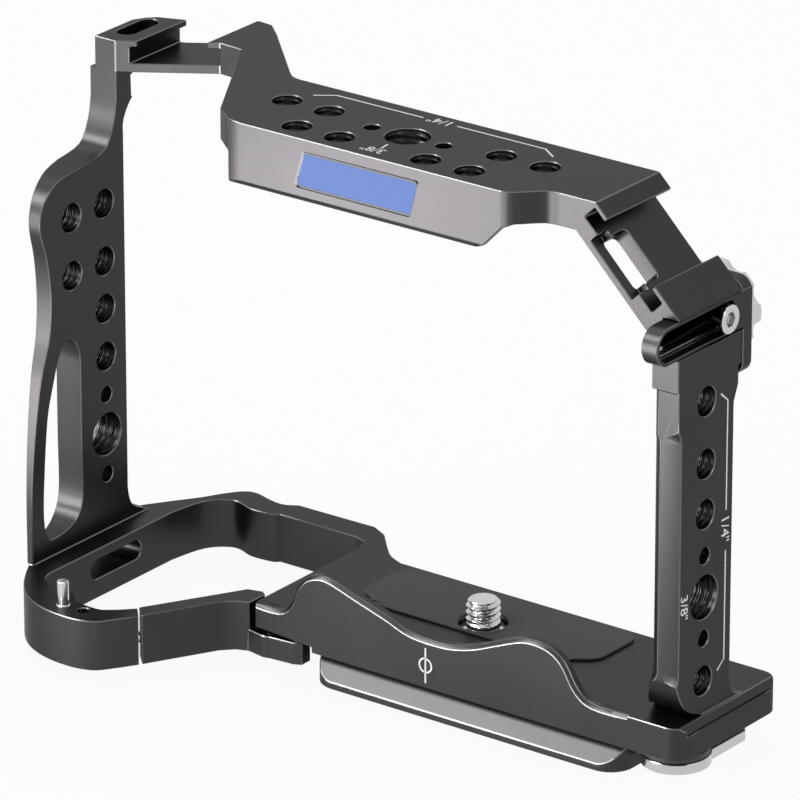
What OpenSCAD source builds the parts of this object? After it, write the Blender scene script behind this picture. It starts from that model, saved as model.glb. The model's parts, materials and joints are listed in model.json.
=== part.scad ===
// Camera cage: a machined frame round a camera body, with a swinging gate,
// a sliding cable clamp, a captive camera screw and a stored flat key.
// X runs to the right seen from the front, Y to the back and Z up.
// The origin is where the camera screw's axis meets the seat.

/* [Camera bay] */
// Screw axis to the inner face of the left plate
bay_left = 82.5; // [80:0.5:86]
// Screw axis to the inner face of the right pillar
bay_right = 48.9; // [48:0.1:54]
// Seat to the top face of the cage
cage_h = 95.4; // [92:0.1:106]

/* [Base] */
// Thickness of the base plate
base_t = 6.45; // [5.5:0.05:7.5]
// Screw axis to the front of the base
base_front = 17.6; // [17:0.1:20]
// Screw axis to the back of the base
base_back = 13.6; // [12.6:0.1:16]
// Screw axis to the left end of the base
base_left = 39.5; // [38:0.1:41]
// Thickness of the wavy front lip
lip_t = 2.2; // [1.6:0.1:3]
// Height of the lip's two crests
lip_h = 9.2; // [6:0.1:12]
// Thickness of the rubber pad
pad_t = 0.5; // [0.3:0.1:1]
// Radius of the recess round the camera screw
recess_r = 4.6; // [4.3:0.1:5.5]
// Depth of that recess
recess_d = 1.6; // [1:0.1:2.4]

/* [Dovetail rail] */
// Width of the quick release rail
rail_w = 38; // [37:0.1:40]
// Drop of the rail below the base
rail_d = 5.25; // [4.8:0.05:7]
// Height of the rail's upright edge
rail_edge = 1.4; // [1:0.1:2]
// Width of the rail's 45 degree flank
rail_flank = 3.2; // [2.5:0.1:3.2]
// Screw axis to the rail's left end
rail_left = 25.5; // [22:0.1:26]
// Screw axis to the rail's right end
rail_right = 43.5; // [40:0.1:43.6]
// Corner radius of the rail in plan
rail_corner = 5; // [3:0.1:7]

/* [Right pillar and foot] */
// Thickness of the right pillar
pillar_t = 5.72; // [5.4:0.02:7]
// Front of the pillar from the screw axis
pillar_front = 17.2; // [16.6:0.1:17.4]
// Chamfer of the pillar's inner front edge
pillar_chamfer = 1.2; // [0.6:0.1:1.6]
// Width of the flare at the pillar's root
flare_w = 4.3; // [3:0.1:4.4]
// Height of that flare
flare_h = 7; // [5:0.1:9]
// How far the foot stands outside the pillar
foot_out = 1.6; // [1:0.1:2.6]
// Corner radius of the foot
foot_corner = 3.5; // [2:0.1:4.5]
// Width of the groove along the foot's side
groove_w = 0.6; // [0.4:0.1:1]
// Bevel along the foot's upper edge
foot_bevel = 1.1; // [0.6:0.1:1.3]

/* [Top plate] */
// Thickness of the top plate
top_t = 6.1; // [5.6:0.1:7]
// Screw axis to the front of the top plate
top_front = 22.9; // [22.6:0.1:25]
// Screw axis to the back of the top plate
top_back = 1.8; // [1.2:0.1:2.6]
// Height of the front fascia, top plate included
fascia_h = 12.2; // [11.4:0.1:15]
// Thickness of the front fascia
fascia_t = 1.7; // [1.4:0.1:1.9]
// Bevel along the fascia's lower edge
fascia_bevel = 1.2; // [0.6:0.1:1.4]
// Screw axis to the fascia's left corner
top_left = 40.7; // [39:0.1:43]
// Screw axis to the start of the front scoop
scoop_x = 20; // [18:0.1:21]
// Width of the badge inlay
badge_w = 25; // [16:0.1:28]
// Height of the badge inlay
badge_h = 7; // [5:0.1:7.6]
// Thickness of the badge inlay
badge_t = 0.5; // [0.3:0.1:0.7]

/* [Threads and pin holes] */
// Pitch of the hole grid
hole_pitch = 9.525; // [9.2:0.005:10]
// Spacing of the two locating pin holes
pin_gap = 15.875; // [15.4:0.005:16.4]
// Radius of the small threads
small_r = 3.175; // [2.8:0.005:3.2]
// Radius of the large threads
large_r = 4.7625; // [4.4:0.0005:4.8]
// Radius of the locating pin holes
pin_hole_r = 1.55; // [1.2:0.05:1.7]
// Middle of the large top thread from the screw axis, to the left
top_cx = 9.4; // [8:0.1:11]
// Middle of the large top thread from the screw axis, to the front
top_cy = 10.4; // [10.2:0.1:10.8]
// Step of the back row behind that thread
back_row = 2.08; // [1.5:0.01:2.5]
// Hole column of the right pillar from the screw axis, to the front
right_col = 8.7; // [8.2:0.1:9.2]
// Hole column of the left plate from the screw axis, to the front
left_col = 6; // [5.7:0.1:6.4]

/* [Shoe rails] */
// Height of the slots that take an accessory foot
shoe_gap = 3.2; // [2.8:0.1:3.6]
// Thickness of the shoe lips
lip_wall = 1.2; // [0.9:0.1:1.4]
// Width between the walls of the left shoe
shoe_w = 13.9; // [13:0.1:15]
// Overhang of the left shoe's outer lip
lip_out = 1.2; // [0.8:0.1:1.6]
// Overhang of the left shoe's inner lip
lip_in = 2; // [1.4:0.1:2.4]
// Width of the strap slot
strap_w = 3.8; // [3:0.1:3.9]
// Length of the strap slot
strap_l = 10; // [8:0.1:11]

/* [Slanted arm] */
// Screw axis to the fold between the top plate and the upper lip
fold_x = 36.6; // [36:0.1:37.4]
// Thickness of the arm
arm_t = 3.4; // [3:0.1:4]
// Width of the slanted shoe between its walls
arm_shoe_w = 20.4; // [20:0.1:21]
// Overhang of the upper lip
arm_lip_up = 3; // [2:0.1:3.6]
// Overhang of the lower lip
arm_lip_low = 3.1; // [2:0.1:3.6]
// Front of the arm from the screw axis
arm_front = 17.5; // [17.3:0.1:18]
// Length of the slot through the arm
arm_slot_l = 10.4; // [8:0.1:12]
// Width of that slot
arm_slot_w = 5; // [4.4:0.1:5.6]
// Width of the strap bar in front of the slot
arm_bar = 2.5; // [2:0.1:3]
// Depth of the step in the strap bar
arm_step = 2; // [1:0.1:2.4]

/* [Left plate] */
// Thickness of the left plate
plate_t = 6.1; // [5.6:0.1:6.8]
// Screw axis to the front of the left plate
plate_front = 28.3; // [27.8:0.1:29]
// Reach of the upper flare behind the plate
flare_back = 12; // [11:0.1:12.6]

/* [Grip loop] */
// Height of the loop band
loop_h = 9.8; // [8.8:0.1:11]
// Screw axis to the front of the loop
loop_front = 43; // [42:0.1:45]
// Screw axis to the back of the loop
loop_back = 24.4; // [23.4:0.1:26]
// Thickness of the loop's back wall
loop_wall = 5.9; // [5:0.1:6.4]
// Length of the window in the loop's side wall
vent_l = 15; // [12:0.1:16]
// Height of that window
vent_h = 3.8; // [3:0.1:3.9]
// Radius of the locating pin
pin_r = 1.1; // [0.8:0.05:1.4]
// Height of the pin above the shelf
pin_h = 4.7; // [3:0.1:7]

/* [Gate] */
// Hinge axis from the screw axis, to the left
hinge_x = 36.5; // [36:0.1:37]
// Hinge axis from the screw axis, to the front
hinge_y = 15.6; // [15:0.1:16]
// Length of the gate from its hinge axis
gate_l = 23.9; // [22:0.1:24.6]
// Thickness of the gate
gate_t = 3.4; // [3:0.1:4]
// Set of the gate's front face inside its hinge axis
gate_set = 4.6; // [4:0.1:4.8]
// Turn of the gate round its hinge, from the X axis
gate_turn = 241; // [239:0.5:243]
// Height of the gate's lower tongue
tongue_h = 4.35; // [3.5:0.05:4.5]
// Radius of the hinge knuckle
knuckle_r = 2.9; // [2.6:0.1:3]
// Radius of the hinge pin
hinge_pin_r = 1.25; // [1:0.05:1.5]
// Slit between the gate and what it meets
gate_gap = 0.6; // [0.4:0.05:0.8]

/* [Cable clamp] */
// Height of the clamp's bar
bar_h = 7.1; // [6.8:0.1:7.4]
// Thickness of the clamp's bar
bar_t = 3.4; // [3:0.1:3.6]
// Front end of the bar from the screw axis
bar_front = 24.2; // [23:0.1:26]
// Width of the bar's slot
bar_slot = 4; // [3.6:0.1:4.4]
// Thickness of the jaw
jaw_t = 2.8; // [2.4:0.1:4]
// Drop of the jaw below the bar's middle
jaw_drop = 12.95; // [11:0.05:14]
// Width of the jaw
jaw_w = 14; // [13:0.1:16]
// Radius of the lock screw's head
lock_head_r = 2.65; // [2.4:0.05:2.9]
// Lock screw from the screw axis, to the front
lock_y = 3.4; // [3:0.1:4]
// Radius of the thumb knob
knob_r = 8.5; // [7:0.1:9]
// Thickness of the thumb knob
knob_t = 5; // [4:0.1:7]
// Number of lobes on the knob
knob_lobes = 8; // [6:1:10]

/* [Camera screw and key] */
// Radius of the camera screw's thread
screw_r = 3.175; // [3:0.005:3.2]
// Height of the screw above the seat
screw_up = 5.07; // [4:0.01:6]
// Radius of the screw's head
head_r = 7; // [6:0.1:8]
// Thickness of the screw's head
head_t = 3.4; // [2.6:0.1:3.6]
// Radius of the key's round end
key_r = 6.4; // [5.6:0.1:6.5]
// Thickness of the key
key_t = 2; // [1.4:0.1:2.4]
// Length of the key's shank behind its round end
key_l = 17; // [14:0.1:18]

/* [Hidden] */

// Unit steps that do not change the design
cut = 1;          // Overrun of a cut past a face
fit = 0.05;       // Radial clearance of a turning fit
air = 0.3;        // Clearance between moving pieces
round_fn = 48;    // Segments of a drawn circle
curve_fn = 4;     // Points between two control points of a curve

// Levels and faces that several pieces share
base_z = -base_t;
rail_z = -base_t - rail_d;
loop_z = -loop_h;
tongue_z = loop_z + tongue_h;
gate_slant = gate_t * 0.36;
pillar_x = bay_right + pillar_t;
foot_x = pillar_x + foot_out;
foot_in = bay_right - flare_w;
plate_x = -bay_left - plate_t;
under_z = cage_h - top_t;
lip_y = -base_front + lip_t;

// Slanted arm: across is the distance from the origin along the slope's normal
slope = 45;
arm_face = (fold_x + cage_h) / sqrt(2);
arm_lip_z = arm_face - lip_wall + air;
arm_floor = arm_lip_z - shoe_gap + air / 2;
arm_under = arm_floor - arm_t;
arm_top_s = (fold_x - cage_h) / sqrt(2) + lip_wall / 2;
arm_low_s = arm_top_s + arm_shoe_w;
arm_back = top_back;
bar_z = arm_face * sqrt(2) - pillar_x - bar_h / 2 - air / 2;
head_z = bar_z - bar_h / 2 - arm_t * 1.9;
slot_mid_s = arm_top_s + arm_shoe_w / 2;
slot_y = -arm_front + arm_bar + arm_slot_w / 2;

// Left shoe
shoe_floor = cage_h - lip_wall - shoe_gap;
shoe_in_x = -bay_left + shoe_w + lip_in + air / 3;
shoe_out_x = shoe_in_x - shoe_w;
bridge_x = -bay_left + plate_t * 3.5;
strap_x = -bay_left - strap_w / 2 + air;
strap_y = lip_out + air;

// Cable clamp
bar_x = pillar_x - bar_t;
jaw_y = arm_back + air;
jaw_x = pillar_x - jaw_w;
knob_x = pillar_x - knob_r - foot_out;
knob_z = bar_z - jaw_drop * 0.28;
knob_y = jaw_y + jaw_t + air;
stud_r = bar_slot / 2;
lock_r = bar_slot * 0.3;
lock_in = bar_x + bar_t * 0.45;
lock_out = pillar_x + lock_head_r * 0.25;
lock_end = lock_out + lock_head_r * 0.17;

// Camera screw, clip and key
head_y = rail_z + air;
clip_t = recess_d / 2;
clip_z = fit - recess_d;
groove_d = clip_t * 0.6;
key_x = pillar_x - key_r + foot_out * 1.3;
key_y = -pillar_front + key_r + air;
holder_t = rail_d * 0.22;
key_z = base_z - holder_t;
magnet_r = key_r / 3;

// Point of the slanted arm at a distance across and a place along its slope
function slant(across, along) = [(across + along) / sqrt(2), (across - along) / sqrt(2)];

// Point in the frame of the gate, whose first axis runs along the gate
function gate_pt(a, b) = [
  -hinge_x + a * cos(gate_turn) - b * sin(gate_turn),
  -hinge_y + a * sin(gate_turn) + b * cos(gate_turn)
];

// One point of a smooth curve between b and c
function bend(a, b, c, d, t) = (2 * b + (c - a) * t + (2 * a - 5 * b + 4 * c - d) * t * t
  + (3 * b - a - 3 * c + d) * t * t * t) / 2;

// Smooth open curve through control points
function curve(p) = concat(
  [for (i = [0:len(p) - 2]) for (j = [0:curve_fn - 1])
    bend(p[max(i - 1, 0)], p[i], p[i + 1], p[min(i + 2, len(p) - 1)], j / curve_fn)],
  [p[len(p) - 1]]
);

// Smooth closed curve through control points
function ring(p) = [for (i = [0:len(p) - 1]) for (j = [0:curve_fn - 1])
  bend(p[(i + len(p) - 1) % len(p)], p[i], p[(i + 1) % len(p)], p[(i + 2) % len(p)], j / curve_fn)];

// Shares turned into places
function spread(p, a, b) = [for (q = p) [q[0] * a, q[1] * b]];
function loop_point(q) = [-base_left - q[0] * (bay_left - base_left),
  q[1] < 0 ? q[1] * loop_front : q[1] * loop_back];
function loop_points(p) = [for (q = p) loop_point(q)];

// Shares of the base's span and of the lip's height, left to right
lip_shares = [[0, 0], [0.07, 0], [0.1, 0.2], [0.118, 0.6], [0.15, 0.9], [0.2, 1], [0.28, 0.79],
  [0.36, 0.57], [0.43, 0.36], [0.52, 0.34], [0.59, 0.48], [0.66, 0.74], [0.725, 0.96],
  [0.785, 0.95], [0.83, 0.72], [0.868, 0.2], [0.91, 0], [1, 0]];
// Shares of the plate's depth and of the cage's height, front edge from the foot upwards
plate_front_shares = [[1, 0], [1, 0.136], [0.961, 0.259], [0.883, 0.376], [0.795, 0.451],
  [0.77, 0.531], [0.802, 0.612], [0.868, 0.675], [0.86, 0.712], [0.79, 0.745], [0.66, 0.767],
  [0.45, 0.774], [0.2, 0.788], [0.105, 0.832], [0.073, 0.881]];
// Shares of the rear flare and of the cage's height, from the top down
plate_back_shares = [[0.97, 0.914], [0.67, 0.902], [0.24, 0.872], [0.02, 0.834], [0, 0.8]];
// Shares of the plate's depth and of its thickness, in plan
plate_plan_shares = [[-0.45, 0.75], [-0.05, 1], [0.42, 1], [0.7, 0.66], [0.88, 0.42], [1.04, 0.16]];
// Shares of the plate's depth and of the cage's height
window_shares = [[0.48, 0.09], [0.48, 0.2], [0.48, 0.34], [0.49, 0.4], [0.56, 0.428], [0.63, 0.43],
  [0.7, 0.4], [0.76, 0.35], [0.82, 0.287], [0.862, 0.168], [0.872, 0.084], [0.83, 0.04],
  [0.72, 0.036], [0.56, 0.05]];
// Shares of the cage's height: holes of the left and the right column
left_small_shares = [0.679, 0.56, 0.462, 0.362];
left_pin_shares = [0.282, 0.115];
left_large_share = 0.199;
left_far_share = 0.546;
right_small_shares = [0.626, 0.502, 0.402];
right_root_share = 0.067;
right_pin_shares = [0.319, 0.1525];
right_large_share = 0.2356;
// Shares of the loop's width and of its front or back reach, outer side from the back
side_outer_shares = [[1.042, 0.291], [1.11, 0.06], [1.14, -0.08], [1.14, -0.27], [1.095, -0.45],
  [1.058, -0.577], [1, -0.7], [0.9, -0.845], [0.79, -0.94], [0.66, -0.99], [0.52, -1],
  [0.42, -0.973], [0.365, -0.91]];
side_inner_shares = [[0.455, -0.84], [0.535, -0.852], [0.607, -0.842], [0.655, -0.8],
  [0.7, -0.772], [0.79, -0.775], [0.85, -0.755], [0.886, -0.7], [0.891, -0.63], [0.891, -0.3],
  [0.891, 0.291]];
back_outer_shares = [[1.042, 0.291], [0.97, 0.48], [0.9, 0.655], [0.84, 0.84], [0.784, 0.963],
  [0.723, 0.99], [0.64, 0.95], [0.56, 0.932], [0.495, 0.99]];
back_inner_shares = [[0.891, 0.291], [0.885, 0.45], [0.865, 0.56]];
shelf_pin_share = [0.635, -0.902];
shelf_hole_share = [0.526, -0.9];
vent_share = 0.225;

// Extrudes an outline drawn in X and Y between two heights
module up(from, to) {
  translate([0, 0, from]) linear_extrude(to - from) children();
}

// Extrudes an outline drawn in Y and Z between two places on X
module across(from, to) {
  translate([from, 0, 0]) rotate([90, 0, 90]) linear_extrude(to - from) children();
}

// Extrudes an outline drawn in X and Z between two places on Y
module along(from, to) {
  translate([0, to, 0]) rotate([90, 0, 0]) linear_extrude(to - from) children();
}

// Round bar along X, Y or Z
module bar_x(r, from, to) {
  translate([from, 0, 0]) rotate([0, 90, 0]) cylinder(r = r, h = to - from, $fn = round_fn);
}
module bar_y(r, from, to) {
  translate([0, from, 0]) rotate([-90, 0, 0]) cylinder(r = r, h = to - from, $fn = round_fn);
}
module bar_z(r, from, to) {
  translate([0, 0, from]) cylinder(r = r, h = to - from, $fn = round_fn);
}

// Block between two corners
module block(low, high) {
  translate(low) cube(high - low);
}

// Slot with round ends, centred, lying along its first axis
module stadium(l, w) {
  square([l - w, w], center = true);
  for (side = [-1, 1]) translate([side * (l - w) / 2, 0]) circle(d = w, $fn = round_fn);
}

// Rectangle in the plane with round corners, between two corners
module soft_box(low, high, r) {
  difference() {
    translate(low) square(high - low);
    for (x = [0, 1]) for (y = [0, 1]) {
      place = [x == 0 ? low[0] : high[0], y == 0 ? low[1] : high[1]];
      turn = x == 0 ? (y == 0 ? 0 : 270) : (y == 0 ? 90 : 180);
      translate(place) rotate(turn) difference() {
        translate([-cut, -cut]) square(r + cut);
        translate([r, r]) circle(r = r, $fn = round_fn);
      }
    }
  }
}

// Room under the base in which the gate's tongue turns
module gate_room() {
  translate([-hinge_x, -hinge_y, 0])
    bar_z(hinge_x - rail_left - air, base_z - cut, tongue_z + air / 2);
}

// Base: flat plate with the screw's recess and bore
module base_plate() color("#4a484b") difference() {
  up(base_z, 0) union() {
    translate([-base_left, lip_y]) square([base_left + foot_in, base_back - lip_y]);
  }
  gate_room();
  bar_z(recess_r, -recess_d, cut);
  bar_z(screw_r + fit, base_z - cut, cut);
  translate([-hinge_x, -hinge_y, 0]) bar_z(hinge_pin_r, base_z - cut, -lip_wall);
  hinge_corner();
}

// Clears the base's front left corner round the gate's knuckle
module hinge_corner() {
  up(base_z - cut, cut + lip_h) difference() {
    translate([-base_left - cut, -base_front - cut])
      square([base_left + cut - hinge_x, base_front + cut - hinge_y]);
    translate([-hinge_x, -hinge_y]) circle(r = base_left - hinge_x, $fn = round_fn);
  }
}

// Front lip: a low wall with two crests in front of the camera
module front_lip() color("#6b686b") difference() {
  along(-base_front, lip_y) polygon(concat(
    curve([for (q = lip_shares) [-base_left + q[0] * (base_left + foot_in), q[1] * lip_h]]),
    [[foot_in, base_z], [-base_left, base_z]]));
  gate_room();
  hinge_corner();
  translate([-hinge_x, -hinge_y, 0]) bar_z(hinge_pin_r, base_z - cut, -lip_wall);
}

// Quick release rail: a flat bar with 45 degree flanks
module dovetail_rail() color("#39373a") difference() {
  intersection() {
    across(-rail_left, rail_right) polygon([
      [-rail_w / 2, rail_z], [rail_w / 2, rail_z], [rail_w / 2, rail_z + rail_edge],
      [rail_w / 2 - rail_flank, rail_z + rail_edge + rail_flank], [rail_w / 2 - rail_flank, base_z],
      [rail_flank - rail_w / 2, base_z], [rail_flank - rail_w / 2, rail_z + rail_edge + rail_flank],
      [-rail_w / 2, rail_z + rail_edge]
    ]);
    up(rail_z, base_z)
      soft_box([-rail_left, -rail_w / 2], [rail_right, rail_w / 2], rail_corner);
  }
  bar_z(head_r + air, rail_z - cut, head_y + head_t + fit);
  bar_z(screw_r + fit, rail_z - cut, base_z + cut);
}

// Foot: the base's right end, with a bevel and a groove along its side
module foot() color("#454346") difference() {
  intersection() {
    along(-base_front, base_back) polygon([
      [foot_in, base_z], [foot_x, base_z], [foot_x, -foot_bevel - groove_w],
      [foot_x - groove_w / 2, -foot_bevel - groove_w], [foot_x - groove_w / 2, -foot_bevel],
      [foot_x, -foot_bevel], [foot_x - foot_bevel, 0], [foot_in, 0]
    ]);
    up(base_z, 0) soft_box([foot_in - foot_corner, -base_front], [foot_x, base_back], foot_corner);
  }
  for (y = [0, 1]) translate([key_x, key_y + y * key_l * 0.6, 0])
    bar_z(magnet_r, base_z - cut, base_z + key_t);
}

// Pillar's outline seen from the front, with the flare at its root
module pillar_front_view() {
  polygon(concat(
    [[pillar_x, 0], [pillar_x, head_z], [bay_right, head_z]],
    curve([[bay_right, flare_h * 1.6], [bay_right - flare_w * 0.12, flare_h],
      [bay_right - flare_w * 0.5, flare_h * 0.42], [foot_in, 0]])
  ));
}

// Pillar's outline seen from the side: the front foot curls back, the root fills behind
module pillar_side_view() {
  polygon(concat(
    curve([[-right_col - air, 0], [-pillar_front * 0.73, flare_h * 0.2],
      [-pillar_front * 0.88, flare_h * 0.55], [-pillar_front, flare_h * 1.2]]),
    [[-pillar_front, head_z], [top_back / 2, head_z], [top_back / 2, head_z - lip_t * 1.6],
      [-air, head_z - lip_t * 2.9]],
    curve([[-air, foot_corner], [foot_corner * 0.25, foot_corner * 0.25], [foot_corner * 1.1, 0]])
  ));
}

// Right pillar with its column of threads
module right_pillar() color("#3b393c") difference() {
  intersection() {
    along(-pillar_front, foot_corner * 2) pillar_front_view();
    across(foot_in, pillar_x) pillar_side_view();
  }
  up(flare_h * 1.3, head_z + cut) polygon([
    [bay_right - cut, -pillar_front - cut], [bay_right + pillar_chamfer + cut, -pillar_front - cut],
    [bay_right - cut, -pillar_front + pillar_chamfer + cut]
  ]);
  pillar_holes();
}

// Threads and pin holes of the right pillar
module pillar_holes() translate([0, -right_col, 0]) {
  for (s = right_small_shares) translate([0, 0, s * cage_h])
    bar_x(small_r, bay_right - cut, pillar_x + cut);
  translate([0, 0, right_root_share * cage_h]) bar_x(small_r, foot_in - cut, pillar_x + cut);
  for (s = right_pin_shares) translate([0, 0, s * cage_h])
    bar_x(pin_hole_r, bay_right - cut, pillar_x + cut);
  translate([0, 0, right_large_share * cage_h]) bar_x(large_r, bay_right - cut, pillar_x + cut);
}

// Pillar head: lower wall of the slanted shoe, with the clamp's channel in its outer face
module pillar_head() color("#3f3d40") difference() {
  along(-arm_front, arm_back) polygon([
    [bay_right, head_z], [pillar_x, head_z], [pillar_x, arm_face * sqrt(2) - pillar_x],
    slant(arm_face, arm_low_s - arm_lip_low), slant(arm_lip_z, arm_low_s - arm_lip_low),
    slant(arm_lip_z, arm_low_s), slant(arm_floor, arm_low_s),
    [slant(arm_floor, arm_low_s)[0], arm_under * sqrt(2) - slant(arm_floor, arm_low_s)[0]],
    [bay_right, arm_under * sqrt(2) - bay_right]
  ]);
  block([bar_x - air / 3, -arm_front - cut, bar_z - bar_h / 2 - air / 3],
    [pillar_x + cut, arm_back + cut, bar_z + bar_h / 2 + air / 3]);
  translate([0, -lock_y, bar_z]) bar_x(lock_r + fit, bay_right - cut, bar_x);
  pillar_holes();
}

// Slanted arm: joins the top plate to the pillar and carries the slanted shoe
module slanted_arm() color("#434144") {
  wall_x = slant(arm_floor, arm_low_s)[0];
  root_x = arm_under * sqrt(2) - under_z;
  difference() {
    along(-arm_front, arm_back) polygon([
      [root_x, under_z], [wall_x, arm_under * sqrt(2) - wall_x], slant(arm_floor, arm_low_s),
      slant(arm_floor, arm_top_s), slant(arm_lip_z, arm_top_s),
      slant(arm_lip_z, arm_top_s + arm_lip_up), slant(arm_face, arm_top_s + arm_lip_up),
      [fold_x, cage_h], [root_x, cage_h]
    ]);
    rotate([0, slope, 0]) {
      translate([0, slot_y, 0]) up(arm_under - cut, arm_floor + cut) translate([slot_mid_s, 0])
        soft_box([-arm_slot_l / 2, -arm_slot_w / 2], [arm_slot_l / 2, arm_slot_w / 2], lip_wall);
      block([slot_mid_s - arm_slot_l * 0.6, -arm_front - cut, arm_floor - arm_step],
        [slot_mid_s + arm_slot_l * 0.6, -arm_front + arm_bar + cut / 2, arm_floor + cut / 2]);
    }
  }
}

// Top plate's outline in plan, from the slanted arm's root round the front
module top_outline() {
  root_x = arm_under * sqrt(2) - under_z;
  polygon(concat(
    [[root_x, top_back], [root_x, -arm_front]],
    curve([[scoop_x + top_front * 0.4, -arm_front], [scoop_x + top_front * 0.27, -arm_front - air * 2],
      [scoop_x + top_front * 0.1, -top_front * 0.955], [scoop_x, -top_front]]),
    [[-top_left + lip_t * 1.5, -top_front], [-top_left, -top_front * 0.97],
      [-top_left - lip_t * 2, -top_front * 0.815], [bridge_x, bridge_front(bridge_x)],
      [bridge_x, bridge_back(bridge_x)]],
    curve([[-top_left - top_t * 1.2, flare_back * 0.44], [-top_left - lip_t * 2, top_back * 1.4],
      [-top_left - lip_t, top_back]])
  ));
}

// Front and back edge of the band that runs from the top plate to the left bridge
function bridge_front(x) = flare_back * 0.67;
function bridge_back(x) = flare_back * 0.44 - (x + top_left + top_t * 1.2) * 1.02;

// Top plate with its fascia, its threads and the place of the badge
module top_plate() color("#434144") difference() {
  union() {
    up(under_z, cage_h) top_outline();
    intersection() {
      across(-top_left, scoop_x + lip_t) polygon([
        [-top_front, under_z], [-top_front, cage_h - fascia_h + fascia_bevel],
        [fascia_bevel - top_front, cage_h - fascia_h], [fascia_t - top_front, cage_h - fascia_h],
        [fascia_t - top_front, under_z]
      ]);
      along(-top_front, fascia_t - top_front) polygon([
        [-top_left, under_z], [-top_left, cage_h - fascia_h], [scoop_x * 0.7, cage_h - fascia_h],
        [scoop_x * 0.8, cage_h - fascia_h * 0.92], [scoop_x, under_z - top_t * 0.16],
        [scoop_x + lip_t, under_z]
      ]);
      up(cage_h - fascia_h, under_z) top_outline();
    }
  }
  top_holes();
  badge_outline(-top_front - cut, badge_t + air / 3 - top_front, 0);
}

// Threads and pin holes of the top plate
module top_holes() {
  translate([-top_cx, -top_cy, 0]) {
    bar_z(large_r, under_z - cut, cage_h + cut);
    for (side = [-1, 1]) {
      translate([side * pin_gap / 2, 0, 0]) bar_z(pin_hole_r, under_z - cut, cage_h + cut);
      for (k = [2, 3]) translate([side * k * hole_pitch, back_row, 0])
        bar_z(small_r, under_z - cut, cage_h + cut);
      for (k = [1, 2]) translate([side * k * hole_pitch, back_row - hole_pitch, 0])
        bar_z(small_r, under_z - cut, cage_h + cut);
    }
  }
}

// Slanted outline of the badge between two places on Y, shrunk by a clearance
module badge_outline(from, to, less) {
  mid_z = cage_h - fascia_h / 2 + air;
  lean = badge_h * 0.14;
  half = badge_w / 2 - less;
  rise = badge_h / 2 - less;
  along(from, to) translate([-top_cx - hole_pitch * 0.2, mid_z])
    polygon([[-half - lean, -rise], [half - lean, -rise], [half + lean, rise], [lean - half, rise]]);
}

// Badge: a thin bare inlay in the fascia
module badge_inlay() color("#2f6fb5")
  badge_outline(-top_front + air / 3, badge_t - top_front + air / 3, air / 6);

// Left bridge: the shoe that joins the top plate to the left plate
module left_bridge() color("#434144") {
  edge_x = plate_x + air * 4;
  slope_y = (flare_back * 0.67 + top_back) / (bay_left + bridge_x - top_t);
  difference() {
    intersection() {
      along(-top_back * 1.2, loop_back) polygon([
        [edge_x, under_z], [bridge_x, under_z], [bridge_x, cage_h], [shoe_in_x - lip_in, cage_h],
        [shoe_in_x - lip_in, cage_h - lip_wall], [shoe_in_x, cage_h - lip_wall],
        [shoe_in_x, shoe_floor], [shoe_out_x, shoe_floor], [shoe_out_x, cage_h - lip_wall],
        [shoe_out_x + lip_out, cage_h - lip_wall], [shoe_out_x + lip_out, cage_h], [edge_x, cage_h]
      ]);
      up(under_z, cage_h) polygon([
        [edge_x, -top_back * 1.15], [-bay_left, -top_back * 1.15],
        [shoe_in_x, flare_back * 0.71], [bridge_x, flare_back * 0.67],
        [bridge_x, bridge_back(bridge_x)], [shoe_in_x + lip_in * 0.8, loop_back * 0.905],
        [shoe_in_x - lip_in * 0.8, loop_back * 0.92], [shoe_out_x + lip_out, flare_back * 1.24],
        [-bay_left - lip_in, flare_back * 1.08], [edge_x + lip_wall, flare_back * 0.94],
        [edge_x, flare_back * 0.75]
      ]);
    }
    strap_slot();
  }
}

// Strap slot down through the left bridge into the plate's root
module strap_slot() {
  up(under_z - top_t, cage_h + cut) translate([strap_x, strap_y + strap_l / 2])
    rotate(90) stadium(strap_l, strap_w);
}

// Outline of the left plate seen from the side
module plate_side_view() {
  difference() {
    polygon(concat(
      curve(spread(plate_front_shares, -plate_front, cage_h)),
      [[-plate_front * 0.073, under_z], [flare_back, under_z]],
      curve(spread(plate_back_shares, flare_back, cage_h)),
      curve([[0, base_t], [flare_back * 0.1, base_t * 0.4], [flare_back * 0.5, 0]])
    ));
    polygon(ring(spread(window_shares, -plate_front, cage_h)));
  }
}

// Left plate with its window and its columns of threads
module left_plate() color("#3b393c") difference() {
  intersection() {
    across(plate_x, -bay_left) plate_side_view();
    up(0, under_z) polygon(concat(
      curve([for (q = plate_plan_shares) [-bay_left - q[1] * plate_t, -q[0] * plate_front]]),
      [[-bay_left, -plate_front * 1.04], [-bay_left, plate_front * 0.45]]
    ));
  }
  strap_slot();
  translate([0, -left_col, 0]) {
    for (s = left_small_shares) translate([0, 0, s * cage_h])
      bar_x(small_r, plate_x - cut, cut - bay_left);
    for (s = left_pin_shares) translate([0, 0, s * cage_h])
      bar_x(pin_hole_r, plate_x - cut, cut - bay_left);
    translate([0, 0, left_large_share * cage_h]) bar_x(large_r, plate_x - cut, cut - bay_left);
  }
  for (i = [0, 1]) translate([0, -left_far_share * plate_front, left_small_shares[i] * cage_h])
    bar_x(small_r, plate_x - cut, cut - bay_left);
}

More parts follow.
